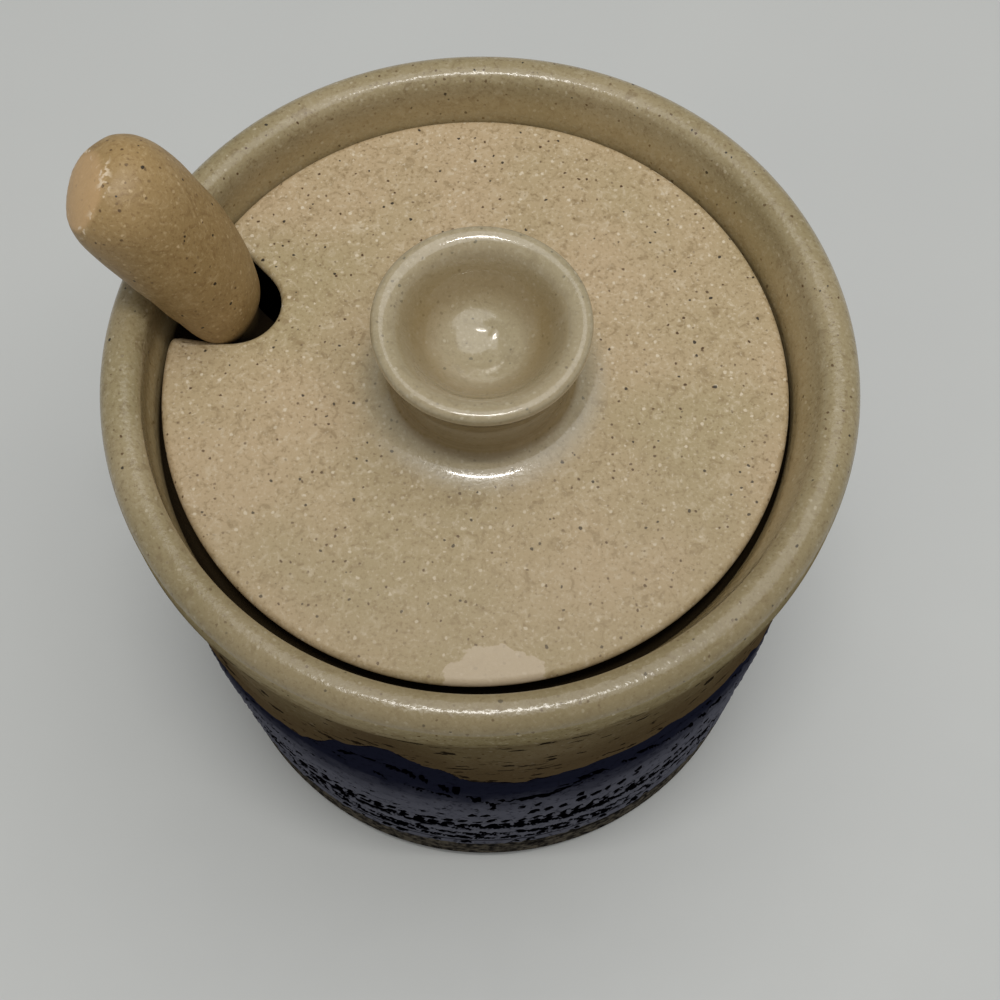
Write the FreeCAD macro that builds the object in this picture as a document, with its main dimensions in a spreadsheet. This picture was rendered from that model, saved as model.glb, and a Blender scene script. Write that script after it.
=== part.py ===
"""Stoneware condiment jar with a lift-off lid and its own clay spoon.

Millimetres, +Z up, origin at the centre of the foot, front towards -Y.
The jar and the lid are thrown forms, so each is a profile turned about its
axis. The lid lies on a ledge inside the rim, the spoon stands on the jar's
floor and comes out through a flared notch in the lid.
"""
import FreeCAD, Part
import Sketcher
import math
import os

doc = FreeCAD.newDocument("CondimentJar")

# ---------------------------------------------------------------- sizes
SIZES = (
    # the jar: outside
    ("RimRadius", 55.0, "outer radius of the rolled rim"),
    ("JarHeight", 101.5, "foot to the top of the rim"),
    ("LipRadius", 3.3, "half the thickness of the rolled rim"),
    ("RimOverhang", 2.1, "how far the rim stands out over the wall"),
    ("CollarHeight", 7.4, "top of the rim to the start of its underside"),
    ("CollarSlope", 4.0, "height of the rim's slanted underside"),
    ("BellySwell", 0.3, "how much the middle of the wall swells"),
    ("BellyHeight", 46.0, "height of the widest part of the wall"),
    ("FootTaper", 1.0, "how much the foot is narrower than the wall"),
    ("FootBevel", 1.2, "bevel round the foot"),
    ("LowGroove", 9.0, "height of the lower turned groove"),
    ("HighGroove", 17.5, "height of the upper turned groove"),
    ("GrooveWidth", 1.8, "width of a turned groove"),
    ("GrooveDepth", 0.6, "depth of a turned groove"),
    # the jar: inside
    ("Wall", 5.9, "thickness of the wall"),
    ("FloorThickness", 7.0, "thickness of the floor"),
    ("FloorRound", 6.0, "inside radius where wall and floor meet"),
    ("GalleryStep", 0.8, "how much the rim's inside narrows downwards"),
    ("GalleryTaper", 5.0, "height over which it narrows"),
    ("LedgeWidth", 3.6, "width of the ledge that carries the lid"),
    ("LedgeThickness", 3.4, "thickness of the ledge at its edge"),
    ("LedgeSlope", 4.5, "height of the ledge's slanted underside"),
    ("LedgeRound", 0.8, "rounding of the ledge's edge"),
    # the lid
    ("LidGap", 1.4, "radial play between lid and rim"),
    ("LidShiftX", -0.35, "where the lid lies within its play, X"),
    ("LidShiftY", 0.75, "where the lid lies within its play, Y"),
    ("LidDrop", 7.15, "top edge of the lid below the top of the rim"),
    ("LidThickness", 5.5, "thickness of the lid at its edge"),
    ("LidCrown", 1.2, "rise of the lid from its edge to the knob"),
    ("LidRound", 1.8, "rounding of the lid's top edge"),
    ("LidUnderRound", 0.8, "rounding of the lid's bottom edge"),
    # the knob
    ("KnobHeight", 17.25, "knob's top above the lid at its neck"),
    ("KnobRadius", 15.5, "outer radius of the knob's lip"),
    ("KnobLipWidth", 4.0, "thickness of the knob's lip"),
    ("KnobLipHeight", 4.6, "height of the knob's lip"),
    ("KnobLipRound", 1.9, "rounding of the knob's lip"),
    ("NeckRadius", 11.6, "radius of the knob's neck"),
    ("NeckHeight", 7.4, "height of the neck under the flare"),
    ("NeckRound", 4.4, "hollow curve between neck and lid"),
    ("CupRadius", 7.6, "radius of the cup where its wall meets its floor"),
    ("CupDepth", 9.6, "depth of the knob's cup"),
    ("CupRound", 6.0, "inside rounding of the knob's cup"),
    # the notch
    ("NotchAngle", 160.1, "bearing of the notch, degrees"),
    ("NotchSkew", 7.5, "turn of the notch's axis from that bearing"),
    ("NotchFlare", 22.0, "splay of each side of the notch, degrees"),
    ("NotchPlay", 0.3, "play between the handle and the notch's sides"),
    ("NotchEndPlay", 0.67, "play between the handle and the notch's end"),
    ("NotchSetback", 0.8, "least of the notch's centre behind the handle's axis"),
    ("NotchCornerRound", 2.4, "rounding of the notch's two corners"),
    # the spoon
    ("SpoonLean", 18.4, "lean of the spoon from upright, degrees"),
    ("SpoonBearing", 165.0, "direction in which it leans, degrees"),
    ("LedgePlay", 1.03, "radial play between the handle and the ledge"),
    ("LipPlay", 2.32, "radial play between the handle and the lip"),
    ("RestGap", 0.3, "spoon above the floor of the jar"),
    ("GripHalfWidth", 7.3, "half width of the handle in the notch"),
    ("GripHalfThickness", 5.6, "half thickness of it there"),
    ("TipHalfWidth", 9.0, "half width of the handle's end"),
    ("TipHalfThickness", 8.3, "half thickness of the handle's end"),
    ("BendRadius", 97.0, "radius of the handle's outward bend"),
    ("BendAngle", 15.4, "turn of the handle's bend, degrees"),
    ("ShaftSwell", 0.2, "share of the shaft where it starts to widen"),
    ("ShaftMiddle", 0.6, "share of the shaft at its middle section"),
    ("NeckHalfWidth", 4.4, "half width of the spoon's neck"),
    ("NeckHalfThickness", 3.3, "half thickness of the spoon's neck"),
    ("BowlHalfLength", 17.0, "half length of the spoon's bowl"),
    ("BowlHalfWidth", 12.0, "half width of the spoon's bowl"),
    ("BowlDepth", 7.0, "outer depth of the spoon's bowl"),
    ("BowlWall", 2.3, "thickness of the spoon's bowl"),
)

sheet = doc.addObject("Spreadsheet::Sheet", "Sizes")
for row, (alias, value, meaning) in enumerate(SIZES, start=1):
    sheet.set("A%d" % row, alias)
    sheet.set("B%d" % row, str(value))
    sheet.set("C%d" % row, meaning)
    sheet.setAlias("B%d" % row, alias)
doc.recompute()


# -------------------------------------------------------- expressions
def S(alias):
    """The cell of that alias, as a term of an expression."""
    return "Sizes." + alias


def plus(*terms):
    return "(" + " + ".join(terms) + ")"


def minus(first, *rest):
    return "(" + " - ".join((first,) + rest) + ")"


def sin(angle):
    return "sin(" + angle + " * 1 deg)"


def cos(angle):
    return "cos(" + angle + " * 1 deg)"


def tan(angle):
    return "tan(" + angle + " * 1 deg)"


def least(first, second):
    return "min(" + first + "; " + second + ")"


# ------------------------------------------------------------- helpers
def plane(body, role):
    """One of the body's own origin planes."""
    for feature in body.Origin.OriginFeatures:
        if feature.Role == role:
            return feature
    raise RuntimeError("no plane " + role)


def add_sketch(body, name, role):
    sketch = body.newObject("Sketcher::SketchObject", name)
    sketch.AttachmentSupport = [(plane(body, role), "")]
    sketch.MapMode = "FlatFace"
    return sketch


def pin_point(sketch, geometry, position, name, across, up):
    """Hold one point of a sketch at two expressions from its origin."""
    for kind, suffix, term in (("DistanceX", "X", across), ("DistanceY", "Y", up)):
        pin = Sketcher.Constraint(kind, -1, 1, geometry, position, 1.0)
        index = sketch.addConstraint(pin)
        sketch.renameConstraint(index, name + suffix)
        sketch.setExpression("Constraints." + name + suffix, term)


def add_outline(sketch, corners):
    """Draw a closed outline whose corners are pairs of expressions."""
    count = len(corners)
    start = [
        FreeCAD.Vector(60 + 40 * math.cos(2 * math.pi * k / count),
                       60 + 40 * math.sin(2 * math.pi * k / count), 0)
        for k in range(count)
    ]
    for k in range(count):
        sketch.addGeometry(Part.LineSegment(start[k], start[(k + 1) % count]), False)
    for k in range(count):
        sketch.addConstraint(Sketcher.Constraint("Coincident", k, 2, (k + 1) % count, 1))
    for k, (name, across, up) in enumerate(corners):
        pin_point(sketch, k, 1, name, across, up)
    doc.recompute()


def turn(body, sketch, name):
    """Turn a profile once round the body's own Z axis."""
    solid = body.newObject("PartDesign::Revolution", name)
    solid.Profile = sketch
    solid.ReferenceAxis = (sketch, ["V_Axis"])
    solid.Angle = 360.0
    sketch.Visibility = False
    doc.recompute()
    return solid


def corner_at(sketch, corners, name):
    """Radius and height of a named corner of a solved outline."""
    index = [corner[0] for corner in corners].index(name)
    point = sketch.Geometry[index].StartPoint
    return point.x, point.y


def ring_edges(solid, places):
    """Names of the circular edges of a turned solid at radius, height."""
    names = []
    for number, edge in enumerate(solid.Shape.Edges, start=1):
        if not isinstance(edge.Curve, Part.Circle):
            continue
        for radius, height in places:
            near_radius = abs(edge.Curve.Radius - radius) < 1e-3
            near_height = abs(edge.Curve.Center.z - height) < 1e-3
            if near_radius and near_height:
                names.append("Edge%d" % number)
    return names


def round_edges(body, base, name, edges, radius):
    """Fillet some edges of a feature with a radius from the sheet."""
    fillet = body.newObject("PartDesign::Fillet", name)
    fillet.Base = (base, edges)
    fillet.setExpression("Radius", radius)
    doc.recompute()
    return fillet


def start_body(name):
    body = doc.addObject("PartDesign::Body", name.capitalize() + "Body")
    body.Label = name
    return body


# ------------------------------------------- radii and heights in common
BODY_RADIUS = minus(S("RimRadius"), S("RimOverhang"))
INNER_RADIUS = minus(BODY_RADIUS, S("Wall"))
LIP_INSIDE = minus(S("RimRadius"), "2 * " + S("LipRadius"))
LIP_CENTRE_HEIGHT = minus(S("JarHeight"), S("LipRadius"))
GALLERY_RADIUS = minus(LIP_INSIDE, S("GalleryStep"))
MOUTH_RADIUS = minus(GALLERY_RADIUS, S("LedgeWidth"))
LID_TOP = minus(S("JarHeight"), S("LidDrop"))
LEDGE_HEIGHT = minus(LID_TOP, S("LidThickness"))
LID_RADIUS = minus(GALLERY_RADIUS, S("LidGap"))
LIP_ROUND = minus(S("LipRadius"), "0.02")


# ------------------------------------------------------------------- jar
def make_jar():
    """The thrown pot: foot, wall, rolled rim, ledge for the lid, floor."""
    body = start_body("jar")
    sketch = add_sketch(body, "JarProfile", "XZ_Plane")
    foot = minus(BODY_RADIUS, S("FootTaper"))
    groove_bottom = minus(foot, S("GrooveDepth"))
    half_groove = S("GrooveWidth") + " / 2"
    collar = minus(S("JarHeight"), S("CollarHeight"))
    ledge_under = minus(LEDGE_HEIGHT, S("LedgeThickness"))
    corners = [
        ("FloorCentre", "0", "0"),
        ("FootEdge", minus(foot, S("FootBevel")), "0"),
        ("FootSide", foot, S("FootBevel")),
        ("LowGrooveStart", foot, minus(S("LowGroove"), half_groove)),
        ("LowGrooveBed", groove_bottom, S("LowGroove")),
        ("LowGrooveEnd", foot, plus(S("LowGroove"), half_groove)),
        ("HighGrooveStart", foot, minus(S("HighGroove"), half_groove)),
        ("HighGrooveBed", groove_bottom, S("HighGroove")),
        ("HighGrooveEnd", foot, plus(S("HighGroove"), half_groove)),
        ("Belly", plus(BODY_RADIUS, S("BellySwell")), S("BellyHeight")),
        ("UnderCollar", BODY_RADIUS, minus(collar, S("CollarSlope"))),
        ("Collar", S("RimRadius"), collar),
        ("LipOutside", S("RimRadius"), S("JarHeight")),
        ("LipInside", LIP_INSIDE, S("JarHeight")),
        ("GalleryTop", LIP_INSIDE, LIP_CENTRE_HEIGHT),
        ("Gallery", GALLERY_RADIUS, minus(LIP_CENTRE_HEIGHT, S("GalleryTaper"))),
        ("LedgeCorner", GALLERY_RADIUS, LEDGE_HEIGHT),
        ("LedgeEdge", MOUTH_RADIUS, LEDGE_HEIGHT),
        ("LedgeUnder", MOUTH_RADIUS, ledge_under),
        ("InnerWall", INNER_RADIUS, minus(ledge_under, S("LedgeSlope"))),
        ("FloorCorner", INNER_RADIUS, S("FloorThickness")),
        ("FloorTop", "0", S("FloorThickness")),
    ]
    add_outline(sketch, corners)
    pot = turn(body, sketch, "ThrownPot")
    lip = ring_edges(pot, [corner_at(sketch, corners, "LipOutside"),
                           corner_at(sketch, corners, "LipInside")])
    pot = round_edges(body, pot, "RolledLip", lip, LIP_ROUND)
    floor = ring_edges(pot, [corner_at(sketch, corners, "FloorCorner")])
    pot = round_edges(body, pot, "FloorFillet", floor, S("FloorRound"))
    ledge = ring_edges(pot, [corner_at(sketch, corners, "LedgeEdge")])
    pot = round_edges(body, pot, "LedgeFillet", ledge, S("LedgeRound"))
    collar_ring = ring_edges(pot, [corner_at(sketch, corners, "Collar")])
    pot = round_edges(body, pot, "CollarFillet", collar_ring, S("LipRadius") + " / 2")
    body.Tip = pot
    return body


# ------------------------------------------ where the handle goes through
# All are distances from the lid's axis. At the top of the lid the handle's
# axis lies as far out as the ledge below and the lip above let it. The notch
# ends just short of the handle's side at the underside of the lid, and its
# round end goes back with the handle's widest line.
HANDLE_SIDE = S("GripHalfThickness") + " / " + cos(S("SpoonLean"))
LEAN_IN_LID = S("LidThickness") + " * " + tan(S("SpoonLean"))
LEAN_TO_LIP = minus(LIP_CENTRE_HEIGHT, LID_TOP) + " * " + tan(S("SpoonLean"))
OUT_AT_LEDGE = minus(plus(MOUTH_RADIUS, LEAN_IN_LID), HANDLE_SIDE, S("LedgePlay"))
OUT_AT_LIP = minus(LIP_INSIDE, LEAN_TO_LIP, HANDLE_SIDE, S("LipPlay"))
HANDLE_OUT = least(OUT_AT_LEDGE, OUT_AT_LIP)
NOTCH_RADIUS = plus(S("GripHalfWidth"), S("NotchPlay"))
NOTCH_END = minus(HANDLE_OUT, LEAN_IN_LID, HANDLE_SIDE, S("NotchEndPlay"))
NOTCH_CENTRE = least(plus(NOTCH_END, NOTCH_RADIUS), minus(HANDLE_OUT, S("NotchSetback")))


# ------------------------------------------------------------------- lid
def cut_notch(body, name, sketch):
    """Cut a sketch on the lid's underside up through the whole lid."""
    cut = body.newObject("PartDesign::Pocket", name)
    cut.Profile = sketch
    cut.Type = "ThroughAll"
    cut.Midplane = True
    sketch.Visibility = False
    doc.recompute()
    return cut


def turned_sketch(body, name, angle):
    """A sketch on the lid's underside, turned by an angle in degrees."""
    sketch = add_sketch(body, name, "XY_Plane")
    sketch.setExpression(".AttachmentOffset.Rotation.Angle", angle + " * 1 deg")
    return sketch


def make_lid():
    """A domed disc with a cup-shaped knob and a notch for the spoon."""
    body = start_body("lid")
    sketch = add_sketch(body, "LidProfile", "XZ_Plane")
    deck = plus(S("LidThickness"), S("LidCrown"))
    knob_top = plus(deck, S("KnobHeight"))
    lip_under = minus(knob_top, S("KnobLipHeight"))
    cup_floor = minus(knob_top, S("CupDepth"))
    cup_mouth = minus(S("KnobRadius"), S("KnobLipWidth"))
    corners = [
        ("UnderCentre", "0", "0"),
        ("UnderEdge", LID_RADIUS, "0"),
        ("TopEdge", LID_RADIUS, S("LidThickness")),
        ("NeckFoot", S("NeckRadius"), deck),
        ("NeckTop", S("NeckRadius"), plus(deck, S("NeckHeight"))),
        ("LipUnder", S("KnobRadius"), lip_under),
        ("LipTop", S("KnobRadius"), knob_top),
        ("CupMouth", cup_mouth, knob_top),
        ("CupFloor", S("CupRadius"), cup_floor),
        ("CupCentre", "0", cup_floor),
    ]
    add_outline(sketch, corners)
    lid = turn(body, sketch, "ThrownLid")
    volume = lid.Shape.Volume

    centre = (NOTCH_CENTRE + " * " + cos(S("NotchSkew")),
              NOTCH_CENTRE + " * " + sin(S("NotchSkew")))
    bearing = minus(S("NotchAngle"), S("NotchSkew"))
    end = turned_sketch(body, "NotchEnd", bearing)
    end.addGeometry(Part.Circle(FreeCAD.Vector(30, 5, 0), FreeCAD.Vector(0, 0, 1), 7), False)
    pin_point(end, 0, 3, "Centre", centre[0], centre[1])
    index = end.addConstraint(Sketcher.Constraint("Radius", 0, 7.0))
    end.renameConstraint(index, "EndRadius")
    end.setExpression("Constraints.EndRadius", NOTCH_RADIUS)
    lid = cut_notch(body, "NotchRoundEnd", end)

    # the sides leave the round end at its tangents and run past the edge
    side_x = NOTCH_RADIUS + " * " + sin(S("NotchFlare"))
    side_y = NOTCH_RADIUS + " * " + cos(S("NotchFlare"))
    reach_x = LID_RADIUS + " * " + cos(S("NotchFlare"))
    reach_y = LID_RADIUS + " * " + sin(S("NotchFlare"))
    sides = turned_sketch(body, "NotchSides", bearing)
    near_x = minus(centre[0], side_x)
    far_x = plus(near_x, reach_x)
    add_outline(sides, [
        ("RightStart", near_x, minus(centre[1], side_y)),
        ("RightEnd", far_x, minus(centre[1], side_y, reach_y)),
        ("LeftEnd", far_x, plus(centre[1], side_y, reach_y)),
        ("LeftStart", near_x, plus(centre[1], side_y)),
    ])
    lid = cut_notch(body, "NotchMouth", sides)
    if lid.Shape.Volume >= volume:
        raise RuntimeError("the notch cuts nothing")

    radius = corner_at(sketch, corners, "UnderEdge")[0]
    upright = []
    for number, edge in enumerate(lid.Shape.Edges, start=1):
        top, bottom = edge.Vertexes[0].Point, edge.Vertexes[-1].Point
        level = math.hypot(top.x - bottom.x, top.y - bottom.y) < 1e-3
        at_edge = abs(math.hypot(top.x, top.y) - radius) < 1e-3
        if level and at_edge and len(edge.Vertexes) == 2:
            upright.append("Edge%d" % number)
    lid = round_edges(body, lid, "NotchCorners", upright, S("NotchCornerRound"))
    rim = ring_edges(lid, [corner_at(sketch, corners, "TopEdge")])
    lid = round_edges(body, lid, "LidEdge", rim, S("LidRound"))
    under = ring_edges(lid, [corner_at(sketch, corners, "UnderEdge")])
    lid = round_edges(body, lid, "LidUnderEdge", under, S("LidUnderRound"))
    neck = ring_edges(lid, [corner_at(sketch, corners, "NeckFoot"),
                            corner_at(sketch, corners, "NeckTop")])
    lid = round_edges(body, lid, "NeckHollow", neck, S("NeckRound"))
    lip = ring_edges(lid, [corner_at(sketch, corners, "LipTop"),
                           corner_at(sketch, corners, "CupMouth")])
    lid = round_edges(body, lid, "KnobLip", lip, S("KnobLipRound"))
    cup = ring_edges(lid, [corner_at(sketch, corners, "CupFloor")])
    lid = round_edges(body, lid, "CupFillet", cup, S("CupRound"))
    body.Tip = lid
    body.setExpression(".Placement.Base.x", S("LidShiftX"))
    body.setExpression(".Placement.Base.y", S("LidShiftY"))
    body.setExpression(".Placement.Base.z", LEDGE_HEIGHT)
    return body


# ----------------------------------------------------------------- spoon
BEND_SECTIONS = 3


def add_oval(name, half_width, half_thickness, y, z, tilt):
    """An upright section of the handle, square to the handle's axis."""
    oval = doc.addObject("Part::Ellipse", name)
    oval.setExpression("MajorRadius", half_width)
    oval.setExpression("MinorRadius", half_thickness)
    oval.Placement.Rotation = FreeCAD.Rotation(FreeCAD.Vector(-1, 0, 0), 1)
    oval.setExpression(".Placement.Base.y", y)
    oval.setExpression(".Placement.Base.z", z)
    oval.setExpression(".Placement.Rotation.Angle", tilt + " * 1 deg")
    return oval


def blend(share, start, end):
    """An expression that lies that share of the way from start to end."""
    return plus(start, share + " * " + minus(end, start))


def make_spoon():
    """A hand-rolled clay spoon: oval bowl, thick handle bent outwards.

    It is made upright with its bowl's tip at the origin and its bend
    towards +Y, then leant and turned as it stands in the jar.
    """
    lean, bearing = S("SpoonLean"), S("SpoonBearing")
    half_length, depth = S("BowlHalfLength"), S("BowlDepth")
    along = half_length + " * " + cos(lean)
    aside = depth + " * " + sin(lean)
    sink = minus("sqrt((%s)^2 + (%s)^2)" % (along, aside), along)
    foot_height = plus(S("FloorThickness"), S("RestGap"), sink)
    reach = minus(LID_TOP, foot_height) + " / " + cos(lean)

    outer = doc.addObject("Part::Ellipsoid", "BowlOutside")
    outer.setExpression("Radius1", half_length)
    outer.setExpression("Radius2", S("BowlHalfWidth"))
    outer.setExpression("Radius3", depth)
    outer.setExpression(".Placement.Base.z", half_length)
    above = doc.addObject("Part::Box", "BowlAbove")
    above.setExpression("Length", "2 * " + S("BowlHalfWidth"))
    above.setExpression("Width", "2 * " + depth)
    above.setExpression("Height", "2 * " + half_length)
    above.setExpression(".Placement.Base.x", "-1 * " + S("BowlHalfWidth"))
    above.setExpression(".Placement.Base.y", "-2 * " + depth)
    half_bowl = doc.addObject("Part::Cut", "HalfBowl")
    half_bowl.Base = outer
    half_bowl.Tool = above

    neck_height = minus("2 * " + half_length, S("BowlWall"))
    ovals = []
    for number, share in enumerate(("0", S("ShaftSwell"), S("ShaftMiddle"), "1")):
        ovals.append(add_oval(
            "Shaft%d" % number,
            blend(share, S("NeckHalfWidth"), S("GripHalfWidth")),
            blend(share, S("NeckHalfThickness"), S("GripHalfThickness")),
            "0", blend(share, neck_height, reach), "0"))
    for number in range(BEND_SECTIONS):
        share = "%d / %d" % (number + 1, BEND_SECTIONS)
        turned = share + " * " + S("BendAngle")
        ovals.append(add_oval(
            "Bend%d" % number,
            blend(share, S("GripHalfWidth"), S("TipHalfWidth")),
            blend(share, S("GripHalfThickness"), S("TipHalfThickness")),
            S("BendRadius") + " * (1 - cos(%s * 1 deg))" % turned,
            plus(reach, S("BendRadius") + " * sin(%s * 1 deg)" % turned),
            turned))
    handle = doc.addObject("Part::Loft", "Handle")
    handle.Sections = ovals
    handle.Solid = True

    tip = doc.addObject("Part::Ellipsoid", "HandleEnd")
    tip.Angle1 = 0.0
    tip.setExpression("Radius1", S("TipHalfWidth"))
    tip.setExpression("Radius2", S("TipHalfWidth"))
    tip.setExpression("Radius3", S("TipHalfThickness"))
    last = ovals[-1]
    tip.Placement.Rotation = FreeCAD.Rotation(FreeCAD.Vector(-1, 0, 0), 1)
    tip.setExpression(".Placement.Base.y", last.Name + ".Placement.Base.y")
    tip.setExpression(".Placement.Base.z", last.Name + ".Placement.Base.z")
    tip.setExpression(".Placement.Rotation.Angle", S("BendAngle") + " * 1 deg")

    solid = doc.addObject("Part::MultiFuse", "SpoonSolid")
    solid.Shapes = [half_bowl, handle, tip]
    hollow = doc.addObject("Part::Ellipsoid", "BowlInside")
    hollow.setExpression("Radius1", minus(half_length, S("BowlWall")))
    hollow.setExpression("Radius2", minus(S("BowlHalfWidth"), S("BowlWall")))
    hollow.setExpression("Radius3", minus(depth, S("BowlWall")))
    hollow.setExpression(".Placement.Base.z", half_length)
    spoon = doc.addObject("Part::Cut", "Spoon")
    spoon.Label = "spoon"
    spoon.Base = solid
    spoon.Tool = hollow

    # where the axis crosses the top of the lid, then down to the bowl's tip
    cross_x = plus(S("LidShiftX"), HANDLE_OUT + " * " + cos(S("NotchAngle")))
    cross_y = plus(S("LidShiftY"), HANDLE_OUT + " * " + sin(S("NotchAngle")))
    run = reach + " * " + sin(lean)
    spoon.setExpression(".Placement.Base.x", minus(cross_x, run + " * " + cos(bearing)))
    spoon.setExpression(".Placement.Base.y", minus(cross_y, run + " * " + sin(bearing)))
    spoon.setExpression(".Placement.Base.z", foot_height)
    yaw = sheet.get("SpoonBearing") - 90
    spoon.Placement.Rotation = FreeCAD.Rotation(yaw, 0, -sheet.get("SpoonLean"))
    return spoon


# ------------------------------------------------------- check and write
parts = [make_jar(), make_lid(), make_spoon()]
doc.recompute()
for thing in doc.Objects:
    if "Invalid" in thing.State or "Error" in thing.State:
        raise RuntimeError(thing.Name + " did not build: " + str(thing.State))
for part in parts:
    if part.Shape.isNull() or not part.Shape.isValid():
        raise RuntimeError(part.Label + " has no valid shape")
    if len(part.Shape.Solids) != 1:
        raise RuntimeError(part.Label + " is not one solid")

os.makedirs("parts", exist_ok=True)
for part in parts:
    part.Shape.exportStep("parts/" + part.Label + ".step")
    box = part.Shape.BoundBox
    print(part.Label, "%.0f mm3" % part.Shape.Volume, "Z %.1f to %.1f" % (box.ZMin, box.ZMax))
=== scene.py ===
# %% [markdown]
# # A stoneware condiment jar, dressed in Blender
# The jar is a small wheel-thrown pot with a lid that drops into its rim, a
# knob like a tiny cup, and a clay spoon that comes out through a notch in the
# lid. The construction model gives every size. Here each piece is built again
# as a fine mesh with the marks of the wheel and of the potter's tools, and
# gets a glaze that is mixed from procedural noise.

# %% Load the construction model
import math
import bmesh
import bpy
import numpy as np
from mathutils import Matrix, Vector


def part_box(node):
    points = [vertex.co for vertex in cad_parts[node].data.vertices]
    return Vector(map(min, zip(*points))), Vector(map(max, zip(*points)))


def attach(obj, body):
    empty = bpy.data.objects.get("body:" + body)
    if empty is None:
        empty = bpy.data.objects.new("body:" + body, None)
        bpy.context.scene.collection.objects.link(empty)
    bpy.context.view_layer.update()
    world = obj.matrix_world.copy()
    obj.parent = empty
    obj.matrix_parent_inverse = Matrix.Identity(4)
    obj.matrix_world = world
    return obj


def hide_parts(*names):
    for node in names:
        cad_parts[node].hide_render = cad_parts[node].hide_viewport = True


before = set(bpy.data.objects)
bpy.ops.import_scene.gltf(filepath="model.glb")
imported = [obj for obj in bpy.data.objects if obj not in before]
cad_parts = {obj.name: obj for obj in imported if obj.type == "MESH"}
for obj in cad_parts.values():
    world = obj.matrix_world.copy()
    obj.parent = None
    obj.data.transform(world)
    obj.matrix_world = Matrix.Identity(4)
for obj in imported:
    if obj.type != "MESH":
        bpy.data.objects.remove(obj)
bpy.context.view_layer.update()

# %% [markdown]
# All shapes below are thought out in millimetres, because that is how a potter
# measures them, and are scaled to metres when a mesh is made. The outer sizes
# are read from the construction model, so the dressed pieces always fit it.

# %% Sizes that come from the model
MM = 0.001
FULL_TURN = 2 * math.pi


def box_mm(node):
    low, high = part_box(node)
    return np.array(low) / MM, np.array(high) / MM


JAR_LOW, JAR_HIGH = box_mm("jar")
LID_LOW, LID_HIGH = box_mm("lid")
RIM_RADIUS = (JAR_HIGH[0] - JAR_LOW[0]) / 2
JAR_HEIGHT = JAR_HIGH[2]
LID_RADIUS = (LID_HIGH[0] - LID_LOW[0]) / 2
LEDGE = LID_LOW[2]
KNOB_TOP = LID_HIGH[2]
print("rim radius %.1f, height %.1f, lid radius %.1f mm" % (
    RIM_RADIUS, JAR_HEIGHT, LID_RADIUS))

# %% [markdown]
# The camera comes first, so that every later choice can be judged. It
# looks down steeply, as a person does who is about to lift the lid, and its
# long lens keeps the circles calm.

# %% Camera
CAMERA_PLACE = (0.00193, -0.10747, 0.30676)
CAMERA_TILT, CAMERA_SWING = 22.75, -0.25
camera_data = bpy.data.cameras.new("ViewCamera")
camera_data.lens = 57.6
camera_data.sensor_width = 36.0
camera = bpy.data.objects.new("ViewCamera", camera_data)
camera.location = CAMERA_PLACE
camera.rotation_euler = (math.radians(CAMERA_TILT), 0, math.radians(CAMERA_SWING))
bpy.context.scene.collection.objects.link(camera)
bpy.context.scene.camera = camera
print("the camera looks %.1f degrees below the horizon" % (90 - CAMERA_TILT))

# %% [markdown]
# Two small curves do most of the blending below: a soft slope from 0 to 1,
# and a soft hump round one value.

# %% Soft slopes and humps
def smooth(low, high, value):
    """0 below low, 1 above high, and an even slope between them."""
    share = np.clip((value - low) / (high - low), 0.0, 1.0)
    return share * share * (3 - 2 * share)


def bump(centre, half_width, value):
    """1 at the centre, falling softly to nothing at half_width away."""
    return 1 - smooth(0.0, half_width, np.abs(value - centre))


print("a quarter of the way up a slope:", smooth(0, 1, 0.25))

# %% [markdown]
# Handmade clay is never exactly round. A few sine waves with fixed random
# phases give a wobble that closes on itself round the pot, so there is no
# seam. Crossed finer waves give the dents that a hand leaves in soft clay.

# %% Handmade unevenness
def wobble(bearing, height, seed, waves=5, rise=0.05):
    """A smooth closed unevenness of about -1 to 1."""
    dice = np.random.default_rng(seed)
    total, weight = 0.0, 0.0
    for turns in range(1, waves + 1):
        phase = dice.uniform(0, FULL_TURN)
        climb = dice.uniform(-rise, rise)
        share = 1.0 / turns ** 0.7
        total = total + share * np.sin(turns * bearing + phase + climb * height)
        weight += share
    return total / (0.6 * weight)


def grain(points, seed, size, layers=14):
    """Crossed waves in space, about size mm from crest to crest."""
    dice = np.random.default_rng(seed)
    total = 0.0
    for _ in range(layers):
        way = dice.normal(size=3)
        way *= FULL_TURN / size / np.linalg.norm(way) * dice.uniform(0.5, 1.3)
        total = total + np.sin(points @ way + dice.uniform(0, 6.3))
    return total / math.sqrt(layers)


print("wobble at three bearings:", wobble(np.array([0, 2, 4]), 0, 1).round(2))

# %% [markdown]
# A thrown pot is a profile turned about an axis. Blender could do this with a
# Screw modifier, but then every ring would be a perfect circle. Rings of our own
# can be moved point by point, and can carry numbers for the materials to read.
# A profile is given by its corners, each with the radius of its rounding.

# %% Profiles with rounded corners
ARC_STEP = 5  # degrees between two points of a rounding


def rounded(before, here, after, rounding):
    """The points of the arc that rounds off one corner."""
    back = (before - here) / np.linalg.norm(before - here)
    on = (after - here) / np.linalg.norm(after - here)
    half = math.acos(np.clip(back @ on, -1, 1)) / 2
    centre = here + (back + on) / np.linalg.norm(back + on) * rounding / math.sin(half)
    first = here + back * rounding / math.tan(half) - centre
    last = here + on * rounding / math.tan(half) - centre
    turn = math.pi - 2 * half
    steps = max(2, int(math.degrees(turn) / ARC_STEP))
    return [centre + (first * math.sin((1 - share) * turn) + last * math.sin(share * turn))
            / math.sin(turn) for share in np.linspace(0, 1, steps + 1)]


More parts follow.
